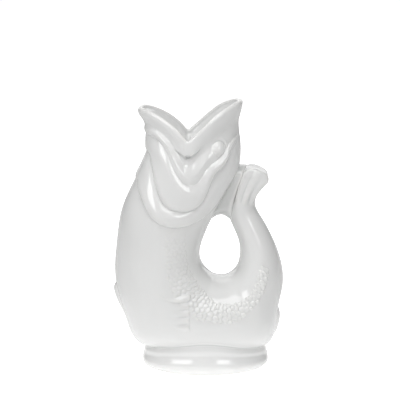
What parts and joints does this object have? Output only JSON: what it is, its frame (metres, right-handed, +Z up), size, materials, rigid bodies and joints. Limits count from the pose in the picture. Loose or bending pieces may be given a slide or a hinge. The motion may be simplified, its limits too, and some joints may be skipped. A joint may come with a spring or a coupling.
{
  "type": "gurgle jug",
  "caption": "Hollow earthenware jug shaped as a fish standing on its curled belly, with an open mouth to pour from and a hollow tail as its handle.",
  "frame": {"origin": "middle of the oval foot, on the flat rim that the jug stands on", "axes": "+Z up, -X towards the fish's throat, +X towards its tail, +Y towards its left side"},
  "size_m": [0.1528, 0.105, 0.2396],
  "materials": {
    "glaze": "glossy clear glaze over white earthenware"
  },
  "bodies": {
    "root": {"belly_shell": "glaze", "head_shell": "glaze", "tail_handle": "glaze", "tail_fin": "glaze", "tail_web": "glaze", "gill_collar": "glaze", "gill_cover_left": "glaze", "gill_cover_right": "glaze", "cheek_left": "glaze", "cheek_right": "glaze", "eye_left": "glaze", "eye_right": "glaze", "side_fin_left": "glaze", "side_fin_right": "glaze", "belly_fin": "glaze", "vent_fin": "glaze", "foot": "glaze"}
  },
  "joints": []
}
